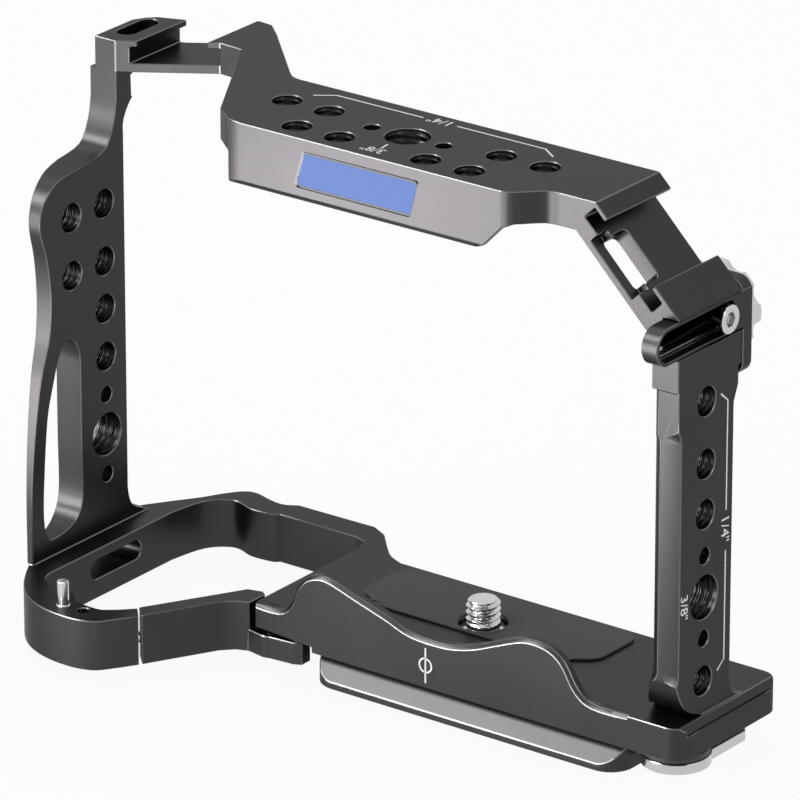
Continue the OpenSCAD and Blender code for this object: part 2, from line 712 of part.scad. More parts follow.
// Side of the grip loop: wall, nose and the shelf with the locating pin
module loop_side() color("#454346") difference() {
  up(loop_z, 0) polygon(concat(
    curve(concat(loop_points(side_outer_shares), [gate_pt(gate_l + gate_gap, -gate_set)])),
    curve(concat([gate_pt(gate_l + gate_gap - gate_slant, -gate_set - gate_t)],
      loop_points(side_inner_shares)))
  ));
  translate([0, -vent_share * loop_front, loop_z * 0.41])
    across(plate_x - cut, cut - base_left * 1.6) stadium(vent_l, vent_h);
  translate(loop_point(shelf_pin_share)) bar_z(pin_r * 1.2, -pin_h, cut);
  translate(loop_point(shelf_hole_share)) bar_z(pin_r, -pin_h, cut);
  catch_place() bar_x(pin_r, -pin_h, cut);
}

// Back wall of the grip loop, running on into the base's back corner
module loop_back_wall() color("#454346") {
  inner_y = loop_back - loop_wall;
  up(loop_z, 0) polygon(concat(
    curve(loop_points(back_outer_shares)),
    [[-base_left - loop_wall * 0.6, loop_back]],
    curve([[-base_left, loop_back * 0.925], [-base_left + loop_wall * 0.76, loop_back * 0.725],
      [-base_left + loop_wall * 1.22, loop_back * 0.623],
      [-base_left + loop_wall * 1.8, base_back]]),
    [[-base_left, base_back], [-base_left - air, base_back + loop_wall * 0.25],
      [-base_left - loop_wall * 0.2, inner_y - air * 3], [-base_left - loop_wall * 0.6, inner_y]],
    curve([loop_point([0.5, 0]) + [0, inner_y], loop_point([0.53, 0]) + [0, inner_y - air * 3],
      loop_point([0.64, 0]) + [0, inner_y - air * 4], loop_point([0.72, 0]) + [0, inner_y],
      loop_point([0.77, 0]) + [0, inner_y], loop_point([0.83, 0]) + [0, inner_y * 0.9],
      loop_point([0.868, 0]) + [0, inner_y * 0.72], loop_point([0.891, 0.291])])
  ));
}

// Rubber pad on the seat
module rubber_pad() color("#2b2a2c") difference() {
  pad_w = bay_right * 0.545;
  up(0, pad_t) difference() {
    soft_box([-pad_w, -base_front * 0.3], [pad_w, base_back * 0.9], foot_corner);
    for (side = [-1, 1]) translate([side * pad_w, -base_front * 0.3]) rotate(side * 32)
      square([foot_corner * 2, foot_corner * 2], center = true);
  }
  bar_z(recess_r, -cut, pad_t + cut);
}

// Camera screw: thread, collar and head with a hex socket
module camera_screw() color("#b9b9bd") difference() {
  union() {
    bar_z(screw_r, head_y + head_t, clip_z);
    bar_z(screw_r - groove_d, clip_z, -air);
    bar_z(screw_r, -air, screw_up);
    bar_z(head_r, head_y, head_y + head_t);
  }
  up(head_y - cut, head_y + head_t * 0.7) circle(r = screw_r * 0.8, $fn = 6);
}

// Clip that keeps the camera screw captive in its recess
module screw_clip() color("#8d8d92") difference() {
  bar_z(recess_r - air, clip_z, clip_z + clip_t);
  bar_z(screw_r - groove_d + fit, -recess_d - cut, cut);
}

// Gate: closes the grip loop and turns on the hinge pin
module gate() color("#454346") translate([-hinge_x, -hinge_y, 0]) difference() {
  knuckle_room = base_left - hinge_x + air;
  union() {
    up(loop_z, 0) difference() {
      rotate(gate_turn) polygon([
        [gate_l - gate_slant, -gate_set - gate_t], [gate_l, -gate_set], [gate_l * 0.36, -gate_set],
        [gate_l * 0.24, -gate_set * 0.83], [gate_l * 0.16, -gate_set * 0.5],
        [0, 0], [-gate_l * 0.03, -gate_set * 1.25], [gate_l * 0.06, -gate_set - gate_t]
      ]);
      circle(r = knuckle_room + air, $fn = round_fn);
      translate([hinge_x - base_left - gate_gap, -gate_l]) square(gate_l * 2);
    }
    up(loop_z, tongue_z) {
      circle(r = knuckle_r, $fn = round_fn);
      rotate(gate_turn) polygon([
        [gate_l * 0.36, -gate_set], [gate_l * 0.24, -gate_set * 0.83], [gate_l * 0.16, -gate_set * 0.5],
        [knuckle_r * 0.9, knuckle_r * 0.43], [-knuckle_r * 0.9, -knuckle_r * 0.4],
        [0, -gate_set * 1.3], [gate_l * 0.1, -gate_set - gate_t * 0.8]
      ]);
      polygon([
        [-knuckle_r * 0.3, -knuckle_r * 0.95], [knuckle_r * 2.2, -knuckle_r * 0.75],
        [knuckle_r * 2.75, -knuckle_r * 0.5], [knuckle_r * 2.75, knuckle_r * 0.4],
        [0, knuckle_r]
      ]);
    }
  }
  bar_z(hinge_pin_r + fit, loop_z - cut, tongue_z + cut);
  bar_z(hinge_pin_r * 1.7 + fit, loop_z - cut, loop_z + lip_wall);
}

// Hinge pin: a shouldered screw up into the base
module gate_hinge_pin() color("#b9b9bd") translate([-hinge_x, -hinge_y, 0]) difference() {
  union() {
    bar_z(hinge_pin_r, loop_z + air / 2, -lip_wall - air);
    bar_z(hinge_pin_r * 1.7, loop_z + air / 2, loop_z + lip_wall - fit);
  }
  up(loop_z - cut, loop_z + lip_wall * 0.7) circle(r = hinge_pin_r * 0.7, $fn = 6);
}

// Place of the catch: the loop's end face, with its axis along the gate
module catch_place() {
  spot = gate_pt(gate_l + gate_gap - gate_slant / 2, -gate_set - gate_t / 2);
  translate([spot[0], spot[1], loop_z / 2]) rotate(gate_turn + 180) children();
}

// Catch: a small magnet plug in the loop's end that holds the gate shut
module gate_catch() color("#c9c9cd") catch_place() bar_x(pin_r, -pin_h, gate_gap / 4);

// Locating pin on the shelf
module locating_pin() color("#d3d3d6") translate(loop_point(shelf_pin_share)) {
  bar_z(pin_r * 1.2, -pin_h, 0);
  bar_z(pin_r, 0, pin_h);
}

// Cable clamp: slotted bar along the pillar and a jaw behind it
module cable_clamp() color("#343235") difference() {
  union() {
    across(bar_x, pillar_x) translate([-bar_front + bar_h / 2, bar_z]) {
      circle(d = bar_h, $fn = round_fn);
      translate([0, -bar_h / 2]) square([jaw_y + jaw_t + bar_front - bar_h / 2, bar_h]);
    }
    along(jaw_y, jaw_y + jaw_t)
      soft_box([jaw_x, bar_z - jaw_drop], [pillar_x, bar_z + bar_h * 0.75], foot_corner * 0.8);
  }
  slot_from = -bar_front + bar_h * 0.17;
  slot_to = -lock_y + lock_head_r * 1.25;
  translate([0, (slot_from + slot_to) / 2, bar_z]) {
    across(bar_x - cut, pillar_x + cut) stadium(slot_to - slot_from, bar_slot);
    across(pillar_x - bar_t / 2, pillar_x + cut)
      stadium(slot_to - slot_from + air * 2, lock_head_r * 2 + air);
  }
  translate([knob_x, 0, knob_z]) bar_y(stud_r + fit, jaw_y - cut, jaw_y + jaw_t + cut);
}

// Lock screw of the clamp, with a tapered head and a hex socket
module clamp_lock_screw() color("#dcdcdf") translate([0, -lock_y, bar_z]) difference() {
  union() {
    bar_x(lock_r, bay_right + air, lock_in);
    translate([lock_in, 0, 0]) rotate([0, 90, 0])
      cylinder(h = lock_out - lock_in, r1 = lock_r, r2 = lock_head_r, $fn = round_fn);
    bar_x(lock_head_r, lock_out, lock_end);
  }
  across(lock_end - lock_head_r * 0.45, lock_end + cut)
    circle(r = lock_head_r * 0.55, $fn = 6);
}

// Thumb knob: a lobed wheel on a stud through the jaw
module thumb_knob() color("#c9c9cd") translate([knob_x, 0, knob_z]) {
  lobe_r = knob_r * 0.3;
  bar_y(stud_r, jaw_y + air / 3, knob_y + knob_t / 2);
  bar_y(knob_r * 0.45, knob_y, knob_y + air * 4);
  along(knob_y + air * 2, knob_y + knob_t) difference() {
    circle(r = knob_r, $fn = round_fn);
    for (i = [0:knob_lobes - 1]) rotate((i + 0.5) * 360 / knob_lobes)
      translate([knob_r + lobe_r * 0.62, 0]) circle(r = lobe_r, $fn = round_fn);
  }
}

// Holder: a thin dark seat under the foot for the key
module key_holder() color("#222124") difference() {
  up(key_z, base_z) union() {
    translate([key_x, key_y]) circle(r = key_r - air, $fn = round_fn);
    translate([key_x - key_r * 0.5, key_y])
      square([key_r * 1.1, key_l * 0.6 + magnet_r + air * 3]);
  }
  for (y = [0, 1]) translate([key_x, key_y + y * key_l * 0.6, 0])
    bar_z(magnet_r, key_z - cut, base_z + cut);
}

// Magnets: two discs in the foot, flush with the holder
module key_magnets() color("#9a9aa0")
  for (y = [0, 1]) translate([key_x, key_y + y * key_l * 0.6, 0])
    bar_z(magnet_r, key_z, base_z + key_t - air);

// Stored key: flat driver with a round end and a narrow blade
module stored_key() color("#d3d3d6") difference() {
  up(key_z - key_t, key_z - fit) union() {
    translate([key_x, key_y]) circle(r = key_r, $fn = round_fn);
    polygon([[key_x - key_r * 0.6, key_y], [key_x + key_r * 0.78, key_y],
      [key_x + key_r * 0.78, key_y + key_l * 0.85], [key_x + key_r * 0.5, key_y + key_l],
      [key_x - key_r * 0.3, key_y + key_l], [key_x - key_r * 0.6, key_y + key_l * 0.85]]);
  }
  translate([key_x, key_y, 0]) bar_z(pin_hole_r, key_z - key_t - cut, key_z + cut);
}

base_plate();
front_lip();
dovetail_rail();
foot();
right_pillar();
pillar_head();
slanted_arm();
top_plate();
left_bridge();
left_plate();
loop_side();
loop_back_wall();
rubber_pad();
badge_inlay();
camera_screw();
screw_clip();
gate();
gate_hinge_pin();
gate_catch();
locating_pin();
cable_clamp();
clamp_lock_screw();
thumb_knob();
key_holder();
key_magnets();
stored_key();
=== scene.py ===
# %% [markdown]
# # A camera cage, dressed for its picture
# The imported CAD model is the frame: every solid already has its true size and place.
# This lesson gives those solids softened edges, cut threads, engraved marks and finishes.
# Lengths are in millimetres while a piece is worked out, and in metres once it is a mesh.

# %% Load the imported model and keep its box
import json
import math
from collections import namedtuple
from contextlib import contextmanager

import bmesh
import bpy
import numpy as np
from mathutils import Matrix, Vector


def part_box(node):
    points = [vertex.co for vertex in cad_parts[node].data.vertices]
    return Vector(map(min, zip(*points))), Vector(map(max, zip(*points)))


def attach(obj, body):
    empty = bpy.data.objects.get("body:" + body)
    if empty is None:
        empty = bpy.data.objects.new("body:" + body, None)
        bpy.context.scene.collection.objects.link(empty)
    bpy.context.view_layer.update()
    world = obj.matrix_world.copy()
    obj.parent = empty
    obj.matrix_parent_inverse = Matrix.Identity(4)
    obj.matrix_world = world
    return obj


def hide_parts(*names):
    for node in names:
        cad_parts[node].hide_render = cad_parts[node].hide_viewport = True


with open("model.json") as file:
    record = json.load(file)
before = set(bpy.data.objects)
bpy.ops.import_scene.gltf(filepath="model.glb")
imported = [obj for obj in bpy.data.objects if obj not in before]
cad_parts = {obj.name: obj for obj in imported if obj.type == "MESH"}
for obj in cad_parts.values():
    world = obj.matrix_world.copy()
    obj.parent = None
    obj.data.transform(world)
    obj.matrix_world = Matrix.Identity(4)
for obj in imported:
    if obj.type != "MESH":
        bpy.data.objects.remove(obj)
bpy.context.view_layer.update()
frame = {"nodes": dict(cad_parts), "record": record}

MM = 0.001
NODES = frame["nodes"]
MOUNTS = {mount["name"]: mount for mount in frame["record"]["mounts"]}


def corners(node):
    """Lowest and highest corner of a CAD node, in millimetres."""
    low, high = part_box(node)
    return np.array(low) / MM, np.array(high) / MM


# %% [markdown]
# ## Camera
# Product pictures of small machined parts are taken from far away with a long lens, so that
# parallel edges stay almost parallel. The camera stands 1.47 m away, 37 degrees to the right
# of the front and 22 degrees up, and its lens is 365 mm on a 36 mm sensor.

# %% Place the camera
LENS, SENSOR = 364.8, 36                # focal length and sensor width, in mm
TO_THE_RIGHT, UP = 36.906, 22.035       # how far the camera stands round and up, in degrees
STAND = (798.93, -1089.06, 590.56)      # where it stands, in mm
SIGHT = (0.05, 20)                      # the nearest and the farthest that it sees, in metres

scene = bpy.context.scene
scene.view_settings.view_transform = "Standard"
lens = bpy.data.cameras.new("product_lens")
lens.lens, lens.sensor_width = LENS, SENSOR
lens.clip_start, lens.clip_end = SIGHT
camera = bpy.data.objects.new("product_camera", lens)
turn, tilt = math.radians(TO_THE_RIGHT), math.radians(UP)
back = Vector((math.sin(turn) * math.cos(tilt), -math.cos(turn) * math.cos(tilt), math.sin(tilt)))
right = Vector((math.cos(turn), math.sin(turn), 0))
pose = Matrix((right, back.cross(right), back)).transposed().to_4x4()
pose.translation = Vector(STAND) * MM
camera.matrix_world = pose
scene.collection.objects.link(camera)
scene.camera = camera
print("camera looks along", [round(-c, 3) for c in back])

# %% [markdown]
# ## Writing a material as sums
# A shader graph is easier to read as arithmetic. One small class wraps a socket, so that
# `grain * 0.2 + 0.4` adds the two Math nodes by itself. Everything else, such as noise or a
# colour mix, comes from one method that takes a node's type, its settings and its sockets.

# %% The classes for sums, nodes and finishes
FINER_SHARE = 0.55      # how strong each finer layer of a noise is, as a share of the one before


class Sum:
    """A socket that can be added to or multiplied like a number."""

    def __init__(self, tree, socket):
        self.tree, self.socket = tree, socket

    def maths(self, operation, *terms):
        """One Math node that works out operation on these terms, in order."""
        node = self.tree.nodes.new("ShaderNodeMath")
        node.operation = operation
        for place, term in enumerate(terms):
            if isinstance(term, Sum):
                self.tree.links.new(term.socket, node.inputs[place])
            else:
                node.inputs[place].default_value = term
        return Sum(self.tree, node.outputs[0])

    def __add__(self, other):
        return self.maths("ADD", self, other)

    def __radd__(self, other):
        return self.maths("ADD", other, self)

    def __mul__(self, other):
        return self.maths("MULTIPLY", self, other)

    def __rmul__(self, other):
        return self.maths("MULTIPLY", other, self)

    def limit(self):
        """The same sum, kept from 0 to 1."""
        self.socket.node.use_clamp = True
        return self


class Graph:
    """A node tree that grows one node at a time."""

    def __init__(self, tree):
        self.tree = tree

    def add(self, kind, settings=None, **sockets):
        """Any node but a Math node: its type, its settings, then a value or link for each socket."""
        self.node = self.tree.nodes.new(kind)
        for setting, value in (settings or {}).items():
            setattr(self.node, setting, value)
        for socket, value in sockets.items():
            found = [s for s in self.node.inputs if s.enabled and s.name == socket.replace("_", " ")]
            if isinstance(value, Sum):
                self.tree.links.new(value.socket, found[0])
            else:
                found[0].default_value = value
        return self

    def out(self, name):
        """The named output of the node just added."""
        return Sum(self.tree, [s for s in self.node.outputs if s.enabled and s.name == name][0])

    def seen(self):
        """1 where a ray comes from the camera or from gloss or glass, and 0 where it only lights."""
        path = self.add("ShaderNodeLightPath")
        mirrored = path.out("Is Glossy Ray") + path.out("Is Transmission Ray")
        return (path.out("Is Camera Ray") + mirrored).limit()


class Finish(Graph):
    """A material whose shader is a Principled one, made of sums and of nodes."""

    def __init__(self, name, colour, rough, metal=0.0, **fixed):
        self.material = bpy.data.materials.new(name)
        self.material.use_nodes = True
        super().__init__(self.material.node_tree)
        self.shader = self.tree.nodes["Principled BSDF"]
        self.shader.inputs["Base Color"].default_value = (*colour, 1)
        self.shader.inputs["Roughness"].default_value = rough
        self.shader.inputs["Metallic"].default_value = metal
        for socket, value in fixed.items():
            self.shader.inputs[socket.replace("_", " ")].default_value = value
        self.place = self.add("ShaderNodeTexCoord").out("Object")
        self.material.diffuse_color = (*colour, 1)

    def feed(self, socket, value):
        """Links a sum to one socket of the shader."""
        self.tree.links.new(value.socket, self.shader.inputs[socket])

    def noise(self, per_metre, detail):
        """Cloudy noise between 0 and 1: its blobs to a metre, and its layers of ever finer blobs."""
        return self.add("ShaderNodeTexNoise", Vector=self.place, Scale=per_metre,
                        Detail=detail, Roughness=FINER_SHARE).out("Fac")

    def blend(self, factor, colour, dark, light):
        """The colour times a share that goes from dark to light with the factor."""
        return self.add("ShaderNodeMix", {"data_type": "RGBA"}, Factor=factor,
                        A=(*[c * dark for c in colour], 1),
                        B=(*[c * light for c in colour], 1)).out("Result")

    def dent(self, height, depth, strength):
        """Bump of this height field, of a depth in metres, into the shader's normal."""
        self.feed("Normal", self.add("ShaderNodeBump", Height=height, Distance=depth,
                                     Strength=strength).out("Normal"))


print("classes for a material:", Sum.__name__, Graph.__name__, Finish.__name__)

# %% [markdown]
# ## Finishes
# The frame is milled from one bar of aluminium, blasted to a fine satin grain and anodised
# dark. Its bevels are given a paler colour, a painted highlight, so every edge is a thin pale
# line, and its threads a darker one, painted shade in the holes. Screws, pins and the knob
# are polished steel, and the seat of the camera is a matt rubber pad. Each finish is noise in
# the object's own space, which stays put on the metal when a joint moves.

# %% Make the finishes
GRAIN, CLOUDS, HAZE = 5200, 45, 900     # blobs to a metre: blasted grain, slow clouds, polish


def satin(name, colour, rough):
    """
    Blasted and anodised metal. Its shade goes from 0.84 to 1.16 of the colour with half grain
    and half cloud. Its roughness is rough - 0.11 + 0.14 grain + 0.08 cloud.
    """
    finish = Finish(name, colour, rough, metal=1.0, Specular_Tint=(0.65, 0.65, 0.65, 1))
    grain = finish.noise(GRAIN, detail=2)
    cloud = finish.noise(CLOUDS, detail=2)
    tone = (cloud * 0.5 + grain * 0.5).limit()
    finish.feed("Base Color", finish.blend(tone, colour, dark=0.84, light=1.16))
    finish.feed("Roughness", grain * 0.14 + cloud * 0.08 + (rough - 0.11))
    finish.dent(grain, depth=0.000012, strength=0.5)
    return finish.material


def bright(name, colour, rough):
    """
    Polished or nickelled metal. Its shade goes from 0.9 to 1 of the colour with a haze of faint
    scratches, and its roughness is rough - 0.06 + 0.16 haze.
    """
    finish = Finish(name, colour, rough, metal=1.0)
    haze = finish.noise(HAZE, detail=4)
    finish.feed("Base Color", finish.blend(haze, colour, dark=0.9, light=1))
    finish.feed("Roughness", haze * 0.16 + (rough - 0.06))
    finish.dent(haze, depth=0.000006, strength=0.25)
    return finish.material


def dull(name, colour, rough, per_metre, depth, **fixed):
    """
    Rubber, plastic or paint. Its shade goes from 0.88 to 1.1 of the colour with a grain of so
    many blobs to a metre, and its roughness is rough - 0.06 + 0.12 grain.
    """
    finish = Finish(name, colour, rough, **fixed)
    grain = finish.noise(per_metre, detail=3)
    finish.feed("Base Color", finish.blend(grain, colour, dark=0.88, light=1.1))
    finish.feed("Roughness", grain * 0.12 + (rough - 0.06))
    finish.dent(grain, depth, strength=0.6)
    return finish.material


ANODISED = satin("anodised_gunmetal", (0.046, 0.0438, 0.046), 0.36)
# the bevels' paler colour is a painted highlight along every edge
BEVEL_HIGHLIGHT = satin("bright_cut_bevel", (0.14, 0.138, 0.144), 0.30)
# the threads' darker colour is painted shade inside the holes
SHADED_THREAD = satin("cut_thread", (0.022, 0.0215, 0.0225), 0.28)
STEEL = bright("polished_steel", (0.56, 0.56, 0.57), 0.16)
NICKEL = bright("nickel_plating", (0.46, 0.45, 0.44), 0.24)
RUBBER = dull("pad_rubber", (0.016, 0.016, 0.017), 0.72, per_metre=3000, depth=0.00002)
BADGE = dull("badge_blue_paint", (0.165, 0.27, 0.66), 0.6, per_metre=2400, depth=0.000004,
             Specular_IOR_Level=0.12)
BORDER = dull("badge_dark_border", (0.012, 0.016, 0.04), 0.45, per_metre=2400, depth=0.000004)
MARK = dull("white_engraving", (0.92, 0.92, 0.92), 0.55, per_metre=6000, depth=0.000004)
PLASTIC = dull("holder_plastic", (0.03, 0.03, 0.031), 0.5, per_metre=2600, depth=0.00001)
print("finishes:", len(bpy.data.materials))

# %% [markdown]
# ## One skin from many solids
# The real frame is a single billet, but the CAD gives it as twelve solids that touch, so that
# each keeps its own openings. A bevel can only run round a corner that is one mesh, so copies
# of the solids are joined by a Boolean modifier. Its manifold solver is quick and leaves no
# gaps. The CAD's own meshes stay as they are.

# %% Copy and combine solids
SAME_CORNER = 2e-6      # corners of the CAD's loose triangles closer than this, in metres, are one


@contextmanager
def edited(mesh):
    """The mesh as a bmesh, which goes back into the mesh at the end of the with block."""
    work = bmesh.new()
    work.from_mesh(mesh)
    yield work
    work.to_mesh(mesh)
    work.free()


def shown(mesh, name):
    """An object in the scene that shows the mesh."""
    piece = bpy.data.objects.new(name, mesh)
    scene.collection.objects.link(piece)
    return piece


def modelled(name, points, faces):
    """An object of these points, in mm, and these faces."""
    mesh = bpy.data.meshes.new(name)
    mesh.from_pydata((points * MM).tolist(), [], faces)
    return shown(mesh, name)


def welded(node):
    """A copy of a CAD node whose loose triangles share their corners."""
    mesh = NODES[node].data.copy()
    with edited(mesh) as work:
        bmesh.ops.remove_doubles(work, verts=work.verts, dist=SAME_CORNER)
    return shown(mesh, node + "_copy")


def settled(piece):
    """The piece's mesh with its modifiers worked out."""
    bpy.context.view_layer.update()
    return bpy.data.meshes.new_from_object(piece.evaluated_get(bpy.context.evaluated_depsgraph_get()))


def combined(pieces, name, operation="UNION"):
    """One skin round several touching solids, or with DIFFERENCE the first less the others."""
    first, others = pieces[0], bpy.data.collections.new(name + "_parts")
    scene.collection.children.link(others)
    for other in pieces[1:]:
        others.objects.link(other)
    cut = first.modifiers.new("combined", "BOOLEAN")
    cut.operation, cut.solver = operation, "MANIFOLD"
    cut.operand_type, cut.collection = "COLLECTION", others
    mesh = settled(first)
    for other in pieces:
        bpy.data.objects.remove(other)
    bpy.data.collections.remove(others)
    return mesh


print("corners of a solid are one below", SAME_CORNER / MM, "mm")

# %% [markdown]
# ## Softened edges
# On a machined part it is the narrow bevels that catch the light. A Boolean leaves its flat
# faces full of triangles, and a bevel trips over those, so edges between faces in one plane
# are dissolved first. A bevel on every sharp edge would still tear the smallest faces, so each
# edge carries a weight, which is 1 only where it is sharp and the faces beside it have room.

# %% Clean a mesh and dress it
WELD = 2e-5             # corners of a cleaned mesh closer than this, in metres, are one
IN_ONE_PLANE = 0.6      # faces that turn by fewer degrees than this become one
SHARP = 26              # an edge that turns by more degrees than this is bevelled
CREASE = 24             # an edge that turns by more degrees than this afterwards shows as sharp
ROOM = 2.2              # the width of the faces beside a bevelled edge, in widths of its bevel
LARGE_FACES_LEAD = 100  # the Weighted Normal setting at which large faces lead and look flat


def plain_faces(mesh, degrees=IN_ONE_PLANE):
    """Dissolves the edges between triangles that lie in one plane, and counts open edges."""
    with edited(mesh) as work:
        bmesh.ops.remove_doubles(work, verts=work.verts, dist=WELD)
        bmesh.ops.dissolve_degenerate(work, edges=work.edges, dist=WELD)
        bmesh.ops.dissolve_limit(work, angle_limit=math.radians(degrees), verts=work.verts,
                                 edges=work.edges)
        return sum(not edge.is_manifold for edge in work.edges)


def dress(mesh, name, body, nodes, skin, edge, width, sharp=SHARP, steps=1):
    """
    Turns a mesh into a piece: softened edges of a width in mm, smooth curves, its finish. An edge
    is softened where it is sharper than so many degrees and the faces beside it have room: the
    area of each over the edge's length is more than ROOM widths.
    """
    mesh.name = name
    mesh.materials.clear()
    mesh.materials.append(skin)
    mesh.materials.append(edge)
    with edited(mesh) as work:
        weight = work.edges.layers.float.new("bevel_weight_edge")
        for face in work.faces:
            face.material_index = 0
        for line in work.edges:
            room = min((face.calc_area() / line.calc_length() for face in line.link_faces), default=0)
            if line.calc_face_angle(0) > math.radians(sharp) and room > ROOM * width * MM:
                line[weight] = 1
    mesh.polygons.foreach_set("use_smooth", [True] * len(mesh.polygons))
    piece = shown(mesh, name)
    soft = piece.modifiers.new("soft_edges", "BEVEL")
    soft.width, soft.segments, soft.limit_method = width * MM, steps, "WEIGHT"
    soft.use_clamp_overlap, soft.material, soft.miter_outer = False, 1, "MITER_ARC"
    baked = settled(piece)
    piece.modifiers.clear()
    piece.data = baked
    baked.set_sharp_from_angle(angle=math.radians(CREASE))
    even = piece.modifiers.new("even_shade", "WEIGHTED_NORMAL")
    even.keep_sharp, even.weight = True, LARGE_FACES_LEAD
    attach(piece, body)
    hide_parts(*nodes)
    return piece


print("a bevelled edge has", ROOM, "bevel widths of room on each side")

# %% [markdown]
# ## Tubes, prisms and threads
# Three forms make all that is added to the CAD: a tube through loops of points, a prism of a
# flat outline, and a tube with a thread on its inner wall. Each is worked out with numpy on a
# grid, so a thread is a real helix that catches the light, and not a bump in the material.

# %% Make tubes, prisms and threads
STEEP, CUT = 1.35, 0.1      # how steep a tooth's flanks are, and what is cut off between teeth
FADE = 0.6                  # how much of a pitch a thread takes to rise from nothing


def ringed(loops):
    """A closed tube of quads through loops of points: each is joined to the next, the last to the first."""
    count, around = loops.shape[:2]
    row, step = np.meshgrid(np.arange(count), np.arange(around), indexing="ij")
    next_row, next_step = (row + 1) % count, (step + 1) % around
    quads = np.stack([row * around + step, next_row * around + step,
                      next_row * around + next_step, row * around + next_step], axis=-1)
    return modelled("ringed", loops.reshape(-1, 3), quads.reshape(-1, 4).tolist())


def rounded(width, height, radius, steps=6):
    """Points round a rectangle whose corners are arcs: each corner's centre plus the radius turned."""
    turns = np.linspace(0, math.pi / 2, steps + 1)
    around = []
    for quarter, (x, y) in enumerate(((1, 1), (-1, 1), (-1, -1), (1, -1))):
        angle = turns + quarter * math.pi / 2
        around.append(np.stack([x * (width / 2 - radius) + radius * np.cos(angle),
                                y * (height / 2 - radius) + radius * np.sin(angle)], axis=-1))
    return np.vstack(around)


def raised(outline, centre, right_way, up_way, low, high, hollow=None):
    """
    A prism of a flat outline, or a ring between two, from low to high above centre, in mm. A
    point (x, y) at height h lies at centre + x right_way + y up_way + h (right_way x up_way).
    """
    centre, right_way, up_way = np.array(centre), np.array(right_way), np.array(up_way)
    out_way = np.cross(right_way, up_way)

    def level(points, height):
        return centre + points[:, :1] * right_way + points[:, 1:] * up_way + height * out_way

    if hollow is not None:
        return ringed(np.stack([level(outline, high), level(outline, low), level(hollow, low),
                                level(hollow, high)]))
    count = len(outline)
    sides = [(k, (k + 1) % count, count + (k + 1) % count, count + k) for k in range(count)]
    ends = [tuple(range(count - 1, -1, -1)), tuple(range(count, 2 * count))]
    return modelled("raised", np.vstack([level(outline, low), level(outline, high)]), sides + ends)


def thread_tube(place, axis, length, root, crest, outer, pitch, fades=(1, 1), rows=8, around=40):
    """
    A tube along axis from place, in mm, with a thread on its inner wall. At angle a and height z
    the tooth is how far u = z / pitch - a / 2 pi lies from a whole number, doubled, times STEEP,
    less CUT and kept from 0 to 1. The inner radius goes from root to crest with the tooth, and
    each end that fades does so within FADE of a pitch.
    """
    heights = np.linspace(0, length, max(2, int(length / pitch * rows)))
    angle = np.linspace(0, 2 * math.pi, around, endpoint=False)
    turns = (heights[:, None] / pitch - angle[None, :] / (2 * math.pi)) % 1
    tooth = np.clip((1 - np.abs(2 * turns - 1)) * STEEP - CUT, 0, 1)
    start = np.clip(heights / pitch / FADE, 0, 1) if fades[0] else 1
    stop = np.clip((length - heights) / pitch / FADE, 0, 1) if fades[1] else 1
    rise = (np.ones(len(heights)) * start * stop)[:, None]
    radius = np.vstack([root + (crest - root) * tooth * rise, np.full((2, around), outer)])
    heights = np.append(heights, [length, 0])
    loops = np.stack([radius * np.cos(angle), radius * np.sin(angle),
                      np.repeat(heights[:, None], around, axis=1)], axis=-1)
    upright_to_axis = np.array(Vector((0, 0, 1)).rotation_difference(Vector(axis)).to_matrix())
    return ringed(loops @ upright_to_axis.T + np.array(place))


print("a thread rises within", FADE, "of a pitch")

# %% [markdown]
# ## Where the threaded holes are
# A cage is mostly a carrier of threads, in the two sizes that photographers use: 1/4 inch with
# 20 turns to the inch, and 3/8 inch with 16. The record names every one of them, with its
# mouth, its axis and its radius, so no place is measured twice.

# %% Read the threaded holes
FINE, COARSE = 1.27, 1.5875     # the two pitches, in mm
FINE_BELOW = 4.0                # a hole of a smaller radius than this, in mm, has the fine pitch

Hole = namedtuple("Hole", "mouth axis radius depth")


def threaded_holes():
    """
    Each threaded hole that the record names, in mm: its mouth, the way in, its radius and depth.
    A pattern's holes lie half its spacings to each side of its middle. A small hole of the right
    pillar is no deeper than the large one, because the pillar flares at its root.
    """
    top_depth = MOUNTS["top_large_thread"]["dims"]["length_mm"]
    right_depth = MOUNTS["right_large"]["dims"]["length_mm"]
    found = []
    for mount in MOUNTS.values():
        size, mouth = mount["dims"], np.array(mount["pos_m"]) / MM
        if mount["kind"] == "threaded_hole":
            depth = min(size["length_mm"], right_depth) if mount["axis"][0] > 0 else size["length_mm"]
            found.append(Hole(mouth, -np.array(mount["axis"]), size["r_mm"], depth))
        elif mount["kind"] == "bolt_pattern":
            across, along = size.get("spacing_x_mm", 0) / 2, size.get("spacing_y_mm", 0) / 2
            for way_x, way_y in {(x, y if along else 0) for x in (-1, 1) for y in (-1, 1)}:
                found.append(Hole(mouth + np.array([way_x * across, way_y * along, 0]),
                                  np.array([0, 0, -1]), size["hole_r_mm"], top_depth))
    return sorted(found, key=lambda hole: tuple(hole.mouth))


def from_left(hole):
    """Whether the way into a hole goes to the right, as in the left plate."""
    return hole.axis[0] > 0.5


def pitch_of(hole):
    """The fine pitch for a hole below the limit in radius, and otherwise the coarse one."""
    return FINE if hole.radius < FINE_BELOW else COARSE


HOLES = threaded_holes()
LEFT_BAY = min(hole.mouth[0] + hole.depth for hole in HOLES if from_left(hole))
print("threaded holes:", len(HOLES), "left wall of the camera's bay at x =", round(LEFT_BAY, 2))

# %% [markdown]
# ## Sleeves in the holes
# The CAD's bores have the full diameter of their threads. In a real hole the rim that shows is
# narrower, because the crests of the thread reach inwards. A thin sleeve in each bore gives the
# rim that width, and it becomes part of the frame's skin, so that its rim is bevelled too. On
# the left plate's curved flank a tube would stick out, so its end is cut along the wall.

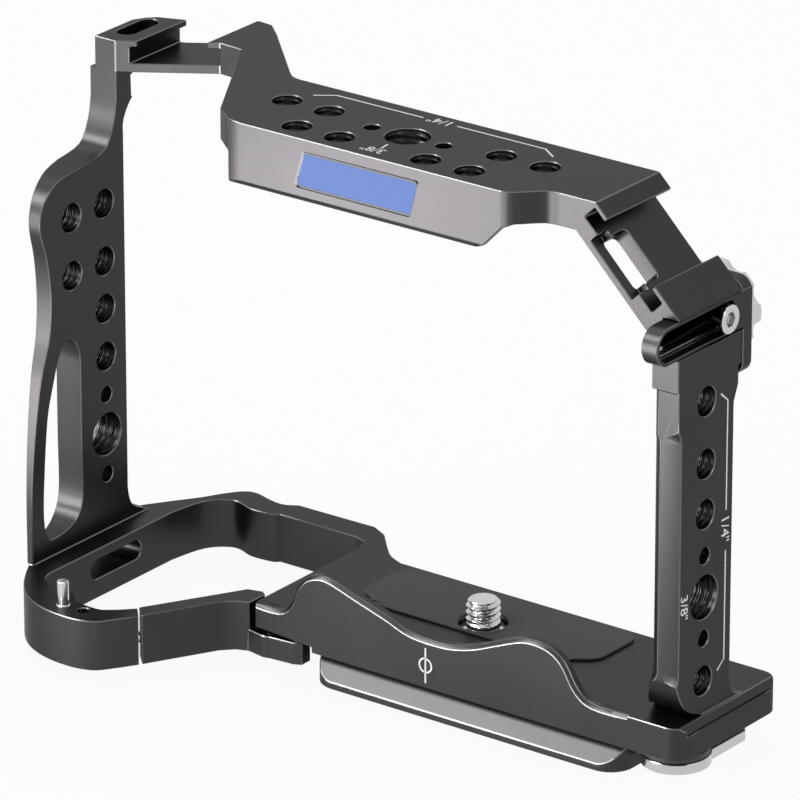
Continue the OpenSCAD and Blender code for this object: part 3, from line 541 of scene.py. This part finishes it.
# %% Line the holes
RIM, CREST = 0.87, 0.78     # radius of the rim and of the thread's crests, in full radii
INTO_WALL = 0.12            # how far a tube reaches into the wall around it, in mm
BLOCK, BLOCK_HIGH = 30, 20  # width and height of the block that trims a tube, in mm


def to_wall(hole):
    """
    The way from a left hole's mouth to the bay, and the slope of the wall round its mouth. The
    record's depth is the longest line of the bore, so the slope is what that line has more than
    the way on the axis, over the radius. On a level wall both are the same, and the slope is 0.
    """
    if not from_left(hole):
        return hole.depth, 0.0
    way = LEFT_BAY - hole.mouth[0]
    return way, max(0.0, (hole.depth - way) / hole.radius)


def bored(hole, sunk, inner, crest, outer, pitch=None, rows=8):
    """
    A tube in a hole that starts and stops sunk mm inside the faces. On a slanted wall it starts
    its radius times the slope further out, and a block along the slope takes the rest away.
    """
    way, slope = to_wall(hole)
    over = slope * hole.radius
    tube = thread_tube(hole.mouth + hole.axis * (sunk - over), hole.axis, way + over - sunk - sunk,
                       inner, crest, outer, pitch or way, rows=rows)
    if not slope:
        return tube
    along = np.array([slope, -1, 0]) / math.hypot(slope, 1)
    waste = raised(rounded(BLOCK, BLOCK, 1), hole.mouth + hole.axis * sunk, along, (0, 0, 1), 0, BLOCK_HIGH)
    return shown(combined([tube, waste], "trimmed", "DIFFERENCE"), "trimmed")


sleeves = [bored(hole, sunk=0, inner=hole.radius * RIM, crest=hole.radius * RIM,
                 outer=hole.radius + INTO_WALL, rows=2) for hole in HOLES]
print("sleeves:", len(sleeves))

# %% [markdown]
# ## The lip's wide bevel and the pillar's facets
# Two edges of the real frame are cut much wider than the rest. The wavy lip has a broad bevel
# along its top, and the right pillar has two flat facets down its front that run out above the
# base. The lip's edge is bevelled alone, and each facet is a long cutter with three sides.

# %% Cut the lip and make the facet cutters
LIP_BEVEL, LIP_SHARP = 0.7, 60          # its width in mm, and the least turn of its edge in degrees
ON_FACE = 1e-5                          # a point closer to a face than this, in metres, is on it
PILLAR_IN, PILLAR_FRONT = 48.9, -17.2   # the pillar's inner face and its front face, in mm
FACETS = {1: (3.1, 0.9), -1: (1.7, 1.3)}    # width and fall in mm, by side: right and left
FACET_LOW, FACET_HIGH = 4.2, 59.5       # where a facet starts and stops, in mm
FACET_END, FACET_ROWS = 5.5, 60         # how long its ends are, in mm, and its rows of points
RUN_ON, SLIDE = 0.25, 1.1               # how far a cutter runs past the edge, and slides out, in widths


def eased_lip():
    """The wavy lip with a wide bevel along the upper edge of its front face."""
    piece = welded("front_lip")
    plain_faces(piece.data)
    front, under = corners("front_lip")[0][1:] * MM
    with edited(piece.data) as work:
        edges = [e for e in work.edges if e.calc_face_angle(0) > math.radians(LIP_SHARP)
                 and all(abs(v.co.y - front) < ON_FACE and v.co.z > under + LIP_BEVEL * MM for v in e.verts)]
        bmesh.ops.bevel(work, geom=edges, offset=LIP_BEVEL * MM, segments=1, affect="EDGES")
    return piece


def pillar_facet(side):
    """
    What a flat facet takes from one front edge of the right pillar. Its line across the pillar
    goes from a point on the front face to one on the side face. At both ends it slides out past
    the edge by 1 - e, where e = 3 t^2 - 2 t^3 and t is the height from that end over FACET_END.
    """
    wide, fall = FACETS[side]
    edge_x = corners("right_pillar")[1][0] if side > 0 else PILLAR_IN
    heights = np.linspace(FACET_LOW, FACET_HIGH, FACET_ROWS)
    share = np.clip(np.minimum(heights - FACET_LOW, FACET_HIGH - heights) / FACET_END, 0, 1)
    ease = share * share * (3 - 2 * share)
    out = (1 - ease)[:, None] * np.array([[side * wide, -fall]]) * SLIDE
    past = np.array([side * RUN_ON * wide, RUN_ON * fall])
    front = np.array([[edge_x - side * wide, PILLAR_FRONT]]) + out - past
    flank = np.array([[edge_x, PILLAR_FRONT + fall]]) + out + past
    far = np.tile([[edge_x + side * wide, PILLAR_FRONT - wide * 2]], (FACET_ROWS, 1))
    rings = np.stack([front, flank, far], axis=1)
    points = np.concatenate([rings, np.repeat(heights[:, None, None], 3, axis=1)], axis=-1).reshape(-1, 3)
    last = len(points) - 3
    sides = [(row + k, row + (k + 1) % 3, row + (k + 1) % 3 + 3, row + k + 3)
             for row in range(0, last, 3) for k in range(3)]
    piece = modelled("facet", points, sides + [(2, 1, 0), (last, last + 1, last + 2)])
    with edited(piece.data) as work:
        bmesh.ops.triangulate(work, faces=work.faces)
        bmesh.ops.recalc_face_normals(work, faces=work.faces)
    return piece


print("facets:", len(FACETS), "of", FACET_HIGH - FACET_LOW, "mm")

# %% [markdown]
# ## The milled frame
# Now the twelve solids and the sleeves become one skin, the facets are cut from it, and its
# edges get their bevel of a sixth of a millimetre.

# %% Make the milled frame
FRAME_BEVEL = 0.16      # in mm
BILLET = ["base_plate", "front_lip", "dovetail_rail", "foot", "right_pillar", "pillar_head",
          "slanted_arm", "top_plate", "left_bridge", "left_plate", "loop_side", "loop_back_wall"]

skin = combined([eased_lip() if n == "front_lip" else welded(n) for n in BILLET] + sleeves, "billet")
skin = combined([shown(skin, "billet"), pillar_facet(1), pillar_facet(-1)], "billet", "DIFFERENCE")
gaps = plain_faces(skin)
billet = dress(skin, "milled_frame", "frame", BILLET, ANODISED, BEVEL_HIGHLIGHT, FRAME_BEVEL)
print("milled frame:", len(billet.data.polygons), "faces, open edges", gaps)

# %% [markdown]
# ## Threads
# Each hole gets a real helical thread: a tube whose inner wall rises and falls as it climbs. It
# sits in the hole's sleeve, a little inside both faces, so that the rim stays plain.

# %% Cut the threads
SUNK = 0.45         # where a thread starts and stops, in mm from the faces
UNDER_RIM = 0.02    # how far its root lies behind the rim, in mm
FIRM_CREASE = 40    # on a joined piece, an edge that turns by more degrees than this shows as sharp


def joined(pieces, name, body, finish):
    """Several objects as one piece."""
    work = bmesh.new()
    for piece in pieces:
        work.from_mesh(piece.data)
        bpy.data.objects.remove(piece)
    mesh = bpy.data.meshes.new(name)
    work.to_mesh(mesh)
    work.free()
    mesh.polygons.foreach_set("use_smooth", [True] * len(mesh.polygons))
    mesh.set_sharp_from_angle(angle=math.radians(FIRM_CREASE))
    mesh.materials.clear()
    mesh.materials.append(finish)
    piece = shown(mesh, name)
    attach(piece, body)
    return piece


tubes = [bored(hole, sunk=SUNK, inner=hole.radius * RIM + UNDER_RIM, crest=hole.radius * CREST,
               outer=hole.radius * RIM + INTO_WALL, pitch=pitch_of(hole)) for hole in HOLES]
# the threads take the darker finish, painted shade in the holes
threads = joined(tubes, "cut_threads", "frame", SHADED_THREAD)
print("threads:", len(tubes), "with", len(threads.data.polygons), "faces")

# %% [markdown]
# ## Camera screw
# The shank above the seat carries the same 1/4 inch thread, cut into it from outside by the
# tube, with a lead-in chamfer that a cone of the same kind cuts at the tip.

# %% Cut the camera screw
SHANK = MOUNTS["camera_screw_thread"]["dims"]["r_mm"]
ROOT = 0.81                     # the thread's root, in radii of the shank
CLEAR, CLEAR_CONE = 0.03, 0.02  # how far the two cutters stay off the shank elsewhere, in mm
CUTTER_WALL = 1                 # how far they reach outside it, in mm
PAST_TIP = 0.3                  # how far they run past the tip, in mm
LEAD, LEAD_SHARE = 0.7, 0.72    # height of the lead-in in mm, and its radius at the cutter's end
UPWARDS = (0, 0, 1)

tip = corners("camera_screw")[1][2]
seat = corners("rubber_pad")[1][2]
spiral = thread_tube((0, 0, seat), UPWARDS, tip - seat + PAST_TIP, root=SHANK + CLEAR, crest=SHANK * ROOT,
                     outer=SHANK + CUTTER_WALL, pitch=FINE, fades=(1, 0), rows=16, around=64)
cone = thread_tube((0, 0, tip - LEAD), UPWARDS, LEAD + PAST_TIP, root=SHANK + CLEAR_CONE,
                   crest=SHANK + CLEAR_CONE, outer=SHANK + CUTTER_WALL, pitch=LEAD + PAST_TIP,
                   rows=2, around=64)
spots = np.array([v.co for v in cone.data.vertices])
inner_wall = np.hypot(spots[:, 0], spots[:, 1]) < (SHANK + CUTTER_WALL / 2) * MM
spots[(spots[:, 2] > tip * MM) & inner_wall, :2] *= LEAD_SHARE
cone.data.vertices.foreach_set("co", spots.ravel())
shaft = combined([welded("camera_screw"), spiral], "camera_screw", "DIFFERENCE")
shaft = combined([shown(shaft, "shaft"), cone], "camera_screw", "DIFFERENCE")
plain_faces(shaft, degrees=0.2)
screw = dress(shaft, "camera_screw_threaded", "camera_screw", ["camera_screw"], STEEL, STEEL,
              width=0.15, sharp=70, steps=2)
print("camera screw:", len(screw.data.polygons), "faces")

# %% [markdown]
# ## Badge
# The badge is a bare blue plate with rounded corners and a thin dark border. The plate has the
# depth of the CAD's inlay, and the border is a ring that stands a hair above it.

# %% Lay the badge
BORDER_WIDE, BORDER_DEEP = 0.4, 0.2     # in mm
BADGE_CORNER, BADGE_SUNK = 1.1, 0.04    # its corners' radius and how far it lies behind the border
FRONT = ((1, 0, 0), (0, 0, 1))          # the ways right and up on a front face

badge_low, badge_high = corners("badge_inlay")
badge_wide, badge_deep, badge_tall = badge_high - badge_low
badge_mid = (badge_low + badge_high) / 2
badge_mid[1] = badge_low[1]             # the middle of its front face
edge_line = rounded(badge_wide, badge_tall, BADGE_CORNER)
face_line = rounded(badge_wide - 2 * BORDER_WIDE, badge_tall - 2 * BORDER_WIDE, BADGE_CORNER - BORDER_WIDE)
plate = raised(edge_line, badge_mid, *FRONT, -badge_deep, -BADGE_SUNK)
badge = joined([plate], "badge_plate", "frame", BADGE)
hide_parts("badge_inlay")
rim = raised(edge_line, badge_mid, *FRONT, -BORDER_DEEP, 0.0, hollow=face_line)
joined([rim], "badge_border", "frame", BORDER)
print("badge:", [round(side, 2) for side in (badge_wide, badge_tall)], "mm")

# %% [markdown]
# ## White marks
# The frame's marks are engraved and filled with white: lines along the grids, the thread sizes
# beside the holes, and a ring on the lip where the optical axis passes. Each is a thin solid
# whose top stands a fortieth of a millimetre proud, so that the metal can't show through it.

# %% Engrave the marks
PROUD, DEEP = 0.025, -0.05      # top and bottom of a mark over its face, in mm
LINE_WIDE = 0.34                # in mm
SIZE_SMALL, SIZE_LARGE = '1/4"', '3/8"'
SIZE_LONG = 4.6                 # how long a thread size is written, in mm
AXIS_R, AXIS_DOWN = 1.35, 2     # radius of the optical axis ring, and how far it lies below z = 0


def stroke(points, centre, right_way, up_way):
    """A line of even width through points: each side lies half the width along the mean normal."""
    points = np.array(points, float)
    ways = np.gradient(points, axis=0)
    ways /= np.linalg.norm(ways, axis=1)[:, None]
    side = np.stack([-ways[:, 1], ways[:, 0]], axis=-1) * LINE_WIDE / 2
    return raised(np.vstack([points - side, (points + side)[::-1]]), centre, right_way, up_way, DEEP, PROUD)


def letters(text, centre, right_way, up_way):
    """Text as a thin solid, SIZE_LONG long and centred on a point of a face."""
    curve = bpy.data.curves.new("letters", "FONT")
    curve.body, curve.extrude = text, (PROUD - DEEP) / 2
    written = bpy.data.objects.new("letters", curve)
    scene.collection.objects.link(written)
    mesh = settled(written)
    bpy.data.objects.remove(written)
    spots = np.array([v.co for v in mesh.vertices])
    low, high = spots.min(axis=0), spots.max(axis=0)
    scale = SIZE_LONG / (high[0] - low[0])
    flat = (spots - (low + high) / 2) * np.array([scale, scale, 1]) + np.array([0, 0, (PROUD + DEEP) / 2])
    axes = np.array([right_way, up_way, np.cross(right_way, up_way)])
    mesh.vertices.foreach_set("co", ((flat @ axes + np.array(centre)) * MM).ravel())
    return shown(mesh, "letters")


top_z = corners("top_plate")[1][2]
pillar_x = max(hole.mouth[0] for hole in HOLES)
lip_y = corners("front_lip")[0][1]
TOP = ((0, 0, top_z), (1, 0, 0), (0, 1, 0))
RIGHT = ((pillar_x, 0, 0), (0, 1, 0), (0, 0, 1))
LIP = ((0, lip_y, 0), *FRONT)
READ_FROM_BACK = ((-1, 0, 0), (0, -1, 0))
READ_DOWNWARDS = ((0, 0, -1), (0, 1, 0))
circle = np.linspace(0, 2 * math.pi, 40, endpoint=False)
ring = np.stack([np.cos(circle), np.sin(circle)], axis=-1)
axis_at = np.array([0, -AXIS_DOWN])
marks = [stroke([(-35.7, -3.6), (-32.3, -1.1), (-12.9, -1.1)], *TOP),
         stroke([(-5.4, -1.1), (14, -1.1), (17.35, -3.5)], *TOP),
         stroke([(-9.4, -18.2), (-9.7, -15.9)], *TOP),
         letters(SIZE_SMALL, (-9.4, -1.0, top_z), *READ_FROM_BACK),
         letters(SIZE_LARGE, (-10.2, -19.6, top_z), *READ_FROM_BACK),
         stroke([(-4.5, 59.8), (-2.35, 58), (-2.35, 37.1)], *RIGHT),
         stroke([(-2.35, 29.4), (-2.35, 8.5), (-4.4, 6.9)], *RIGHT),
         letters(SIZE_SMALL, (pillar_x, -2.5, 33.3), *READ_DOWNWARDS),
         letters(SIZE_LARGE, (pillar_x, -14.8, 22.5), *READ_DOWNWARDS),
         stroke([(0, 1.4), (0, -5.5)], *LIP),
         raised(ring * (AXIS_R + LINE_WIDE / 2) + axis_at, *LIP, DEEP, PROUD,
                hollow=ring * (AXIS_R - LINE_WIDE / 2) + axis_at)]
written = joined(marks, "white_marks", "frame", MARK)
print("marks:", len(marks), "with", len(written.data.polygons), "faces")

# %% [markdown]
# ## The loose pieces
# The gate, the clamp, the key, the pad and the small screws keep their CAD shape too. Each is
# welded and gets edges of its own. The gate's free end reaches a little further than in the
# CAD, so that the gap beside it is as narrow as on the real cage.

# %% Dress the other nodes
UPRIGHT, UPRIGHT_SHARP = 0.99, 20       # least z of an upright edge's way, and its turn in degrees
GATE_REACH = 0.35                       # how much further the gate's free end reaches, in mm
PAD_CORNER = 2                          # radius of the pad's corners, in mm


def carry(node, body, finish, edge, width, steps=1, corner=0, reach=0):
    """
    One CAD node with softened edges and its finish. Upright edges are rounded to corner, and the
    face at its lowest x moves out by reach, both in mm.
    """
    piece = welded(node)
    mesh = piece.data
    bpy.data.objects.remove(piece)
    plain_faces(mesh)
    if reach:
        spots = np.array([v.co for v in mesh.vertices])
        spots[spots[:, 0] < spots[:, 0].min() + WELD, 0] -= reach * MM
        mesh.vertices.foreach_set("co", spots.ravel())
    if corner:
        with edited(mesh) as work:
            upright = [e for e in work.edges if e.calc_face_angle(0) > math.radians(UPRIGHT_SHARP)
                       and abs((e.verts[0].co - e.verts[1].co).normalized().z) > UPRIGHT]
            bmesh.ops.bevel(work, geom=upright, offset=corner * MM, segments=6, profile=0.5, affect="EDGES")
    return dress(mesh, node + "_dressed", body, [node], finish, edge, width, steps=steps)


carry("gate", "gate", ANODISED, BEVEL_HIGHLIGHT, width=FRAME_BEVEL, reach=GATE_REACH)
carry("cable_clamp", "cable_clamp", ANODISED, BEVEL_HIGHLIGHT, width=FRAME_BEVEL)
carry("rubber_pad", "frame", RUBBER, RUBBER, width=0.12, corner=PAD_CORNER)
carry("key_holder", "frame", PLASTIC, PLASTIC, width=0.12)
carry("clamp_lock_screw", "clamp_lock_screw", STEEL, STEEL, width=0.1)
carry("thumb_knob", "thumb_knob", STEEL, STEEL, width=0.25, steps=2)
carry("stored_key", "stored_key", STEEL, STEEL, width=0.15)
carry("locating_pin", "frame", STEEL, STEEL, width=0.15, steps=2)
for node, finish in (("screw_clip", STEEL), ("gate_hinge_pin", STEEL), ("gate_catch", NICKEL),
                     ("key_magnets", NICKEL)):
    NODES[node].data.materials.clear()
    NODES[node].data.materials.append(finish)

# %% [markdown]
# ## Studio
# A pale floor meets a white world, and the metal mirrors both, which keeps its top and right
# faces dark and even. Three soft boxes light the whole, from the front left, from above and
# from the right. A face of satin metal is pale only where it mirrors a lamp, so three more
# lamps are there for the mirroring alone: one for the rail's slanted flank and the bevels, one
# for the pillar's facets and one for the fascia.

# %% Floor, world and lamps
PAPER_GLOW = 0.93       # how much of the floor that is seen is the backdrop's own white
FLOOR_HALF = 9.0        # half the floor's side, in metres
FLOOR_GAP = 0.00005     # how far it lies below the rail, in metres
DAYLIGHT = 0.45         # the world's strength as a light; where it is seen it is 1


def paper_white(name, share):
    """Floor paper: a share of the backdrop's white where it is seen, and the rest shaded paper."""
    finish = Finish(name, (0.86, 0.86, 0.86), 0.9)
    factor = finish.seen() * share
    glow = finish.add("ShaderNodeEmission", Color=(1, 1, 1, 1), Strength=1.0).out("Emission")
    mix = finish.add("ShaderNodeMixShader", Fac=factor).node
    finish.tree.links.new(finish.shader.outputs[0], mix.inputs[1])
    finish.tree.links.new(glow.socket, mix.inputs[2])
    finish.tree.links.new(mix.outputs[0], finish.tree.nodes["Material Output"].inputs[0])
    return finish.material


def soft_box(name, place, aim, size, watts, only_mirrored=False):
    """A rectangular lamp at place that shines at aim, all in mm. Its Z axis points away from aim."""
    lamp = bpy.data.lights.new(name, "AREA")
    lamp.shape, lamp.energy = "RECTANGLE", watts
    lamp.size, lamp.size_y = size[0] * MM, size[1] * MM
    holder = bpy.data.objects.new(name, lamp)
    facing = (Vector(place) - Vector(aim)).to_track_quat("Z", "Y").to_matrix().to_4x4()
    holder.matrix_world = Matrix.Translation(Vector(place) * MM) @ facing
    scene.collection.objects.link(holder)
    holder.visible_camera = False
    holder.visible_diffuse = not only_mirrored


floor_z = corners("dovetail_rail")[0][2] * MM - FLOOR_GAP
sheet = bpy.data.meshes.new("floor")
square = ((-1, -1), (1, -1), (1, 1), (-1, 1))
sheet.from_pydata([(x * FLOOR_HALF, y * FLOOR_HALF, floor_z) for x, y in square], [], [(0, 1, 2, 3)])
sheet.materials.append(paper_white("floor_paper", PAPER_GLOW))
shown(sheet, "floor")

world = bpy.data.worlds.new("studio")
scene.world = world
world.use_nodes = True
sky = Graph(world.node_tree)
strength = sky.seen() * (1 - DAYLIGHT) + DAYLIGHT
background = sky.tree.nodes["Background"]
background.inputs["Color"].default_value = (1, 1, 1, 1)
sky.tree.links.new(strength.socket, background.inputs["Strength"])

soft_box("front_left", (-620, -900, 140), aim=(-20, 0, 40), size=(700, 300), watts=6)
soft_box("overhead", (-300, 300, 900), aim=(0, 0, 60), size=(800, 600), watts=2.5)
soft_box("right_edge", (900, -200, 500), aim=(40, 0, 50), size=(200, 700), watts=1.5)
soft_box("upper_front", (-680, -610, 830), aim=(0, 0, 0), size=(500, 400), watts=11, only_mirrored=True)
soft_box("front_strip", (12, -135, 4), aim=(52, -17, 45), size=(60, 150), watts=0.26, only_mirrored=True)
soft_box("low_card", (-121, -170, 16), aim=(-10, -18, 89), size=(110, 60), watts=0.36, only_mirrored=True)
print("lamps:", len(bpy.data.lights))
